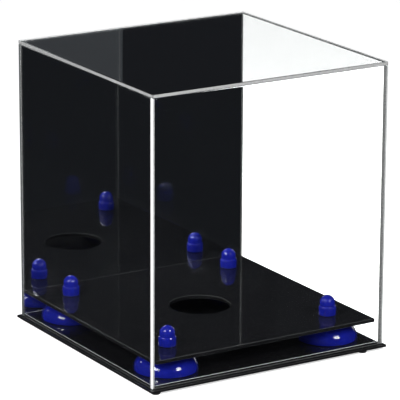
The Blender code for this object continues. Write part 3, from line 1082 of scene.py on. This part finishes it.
def make_floor(studio):
    """A pale floor that keeps the case's shadow and looks white to the camera."""
    shape = bmesh.new()
    bmesh.ops.create_circle(
        shape, cap_ends=True, segments=FLOOR_SIDES, radius=studio.floor_radius)
    floor = object_of("studio_floor", shape)

    material = bpy.data.materials.new("studio_floor")
    material.use_nodes = True
    material.cycles.emission_sampling = "NONE"
    tree = material.node_tree
    tree.nodes.remove(tree.nodes["Principled BSDF"])
    output = tree.nodes["Material Output"]
    place = tree.nodes.new("ShaderNodeTexCoord").outputs["Object"]
    outward = vector_maths(tree, "NORMALIZE", place).outputs[0]
    reach = vector_maths(tree, "LENGTH", place).outputs["Value"]
    far = scale_to(tree, reach, 1.4, 2.4, 0.0, 1.0)
    path, pale = pale_share(tree, outward, 1.0, far)
    paper = add_node(tree, "ShaderNodeBsdfDiffuse", {"Color": PAPER})
    lost_per_surface, own_white = 0.25, 0.60
    white = maths(
        tree, "MULTIPLY_ADD", path.outputs["Transmission Depth"], lost_per_surface, own_white)
    glow = add_node(tree, "ShaderNodeEmission", {"Color": WHITE, "Strength": white})
    lit = add_node(tree, "ShaderNodeAddShader", {0: paper.outputs[0], 1: glow.outputs[0]})
    dark = add_node(tree, "ShaderNodeEmission", {"Color": DARK_FLOOR})
    seen = add_node(tree, "ShaderNodeMixShader", {0: pale, 1: dark.outputs[0], 2: lit.outputs[0]})
    mixed = add_node(tree, "ShaderNodeMixShader", {
        0: path.outputs["Is Diffuse Ray"], 1: seen.outputs[0], 2: paper.outputs[0]})
    tree.links.new(mixed.outputs[0], output.inputs["Surface"])
    floor.data.materials.append(material)


def make_softbox(name, studio, azimuth, elevation, width, height, power):
    """A softbox that faces the case, angles in degrees round it and above the horizon."""
    turn, rise = math.radians(azimuth), math.radians(elevation)
    away = Vector((math.sin(turn) * math.cos(rise), -math.cos(turn) * math.cos(rise), math.sin(rise)))
    lamp = bpy.data.lights.new(name, "AREA")
    lamp.shape = "RECTANGLE"
    lamp.size = 2 * studio.lamp_distance * math.tan(math.radians(width / 2))
    lamp.size_y = 2 * studio.lamp_distance * math.tan(math.radians(height / 2))
    lamp.energy = power
    item = bpy.data.objects.new(name, lamp)
    bpy.context.scene.collection.objects.link(item)
    item.location = Vector(studio.target) + away * studio.lamp_distance
    item.rotation_euler = (-away).to_track_quat("-Z", "Y").to_euler()
    item.visible_camera = False


def make_camera(studio):
    """Camera at the photograph's viewing angle."""
    back = Vector((
        math.sin(studio.azimuth) * math.cos(studio.elevation),
        -math.cos(studio.azimuth) * math.cos(studio.elevation),
        math.sin(studio.elevation)))
    level = Vector((math.cos(studio.azimuth), math.sin(studio.azimuth), 0.0))
    rise = back.cross(level)
    right = level * math.cos(studio.roll) + rise * math.sin(studio.roll)
    up = rise * math.cos(studio.roll) - level * math.sin(studio.roll)
    data = bpy.data.cameras.new("camera")
    data.lens = studio.lens
    data.sensor_width = SENSOR_WIDTH
    data.clip_start = NEAREST
    data.clip_end = FARTHEST
    camera = bpy.data.objects.new("camera", data)
    bpy.context.scene.collection.objects.link(camera)
    place = Vector(studio.target) + back * studio.distance
    place += right * studio.slide[0] + up * studio.slide[1]
    camera.matrix_world = Matrix.Translation(place) @ Matrix((right, up, back)).transposed().to_4x4()
    bpy.context.scene.camera = camera


class CASE_OT_stage(bpy.types.Operator):
    """Make the pale floor, the soft lamps, the surroundings and the camera"""

    bl_idname = "case.stage"
    bl_label = "Stage"

    def execute(self, context):
        scene = context.scene
        studio = scene.case_studio
        make_world(studio)
        make_floor(studio)
        for name, azimuth, elevation, width, height, share in SOFTBOXES:
            power = studio.lamp_power * share
            make_softbox(name, studio, azimuth, elevation, width, height, power)
        make_camera(studio)
        scene.view_settings.view_transform = "Standard"
        scene.cycles.max_bounces = 32
        scene.cycles.glossy_bounces = 20
        scene.cycles.transmission_bounces = 20
        scene.cycles.transparent_max_bounces = 32
        return {"FINISHED"}


class CASE_PT_panel(bpy.types.Panel):
    """Lists the steps that build the display case"""

    bl_idname = "CASE_PT_panel"
    bl_label = "Display Case"
    bl_space_type = "VIEW_3D"
    bl_region_type = "UI"
    bl_category = "Display Case"

    def draw(self, context):
        for step in STEPS:
            self.layout.operator(step.bl_idname)
        for group in (context.scene.case_sizes, context.scene.case_colours, context.scene.case_studio):
            column = self.layout.column(heading=group.bl_rna.name)
            for name in group.bl_rna.properties.keys():
                if name not in {"rna_type", "name"}:
                    column.prop(group, name)


STEPS = (CASE_OT_stage, CASE_OT_boards, CASE_OT_posts, CASE_OT_feet, CASE_OT_cover, CASE_OT_mirror)
CLASSES = (CaseSizes, CaseColours, CaseStudio, *STEPS, CASE_PT_panel)


def register():
    """Register the settings, the steps and the panel."""
    for item in CLASSES:
        bpy.utils.register_class(item)
    bpy.types.Scene.case_sizes = bpy.props.PointerProperty(type=CaseSizes)
    bpy.types.Scene.case_colours = bpy.props.PointerProperty(type=CaseColours)
    bpy.types.Scene.case_studio = bpy.props.PointerProperty(type=CaseStudio)


def unregister():
    """Remove the settings, the steps and the panel."""
    del bpy.types.Scene.case_studio
    del bpy.types.Scene.case_colours
    del bpy.types.Scene.case_sizes
    for item in reversed(CLASSES):
        bpy.utils.unregister_class(item)


def main():
    """Build the case and its stage."""
    register()
    bpy.ops.case.stage()
    bpy.ops.case.boards()
    bpy.ops.case.posts()
    bpy.ops.case.feet()
    bpy.ops.case.cover()
    bpy.ops.case.mirror()


if __name__ == "__main__":
    main()
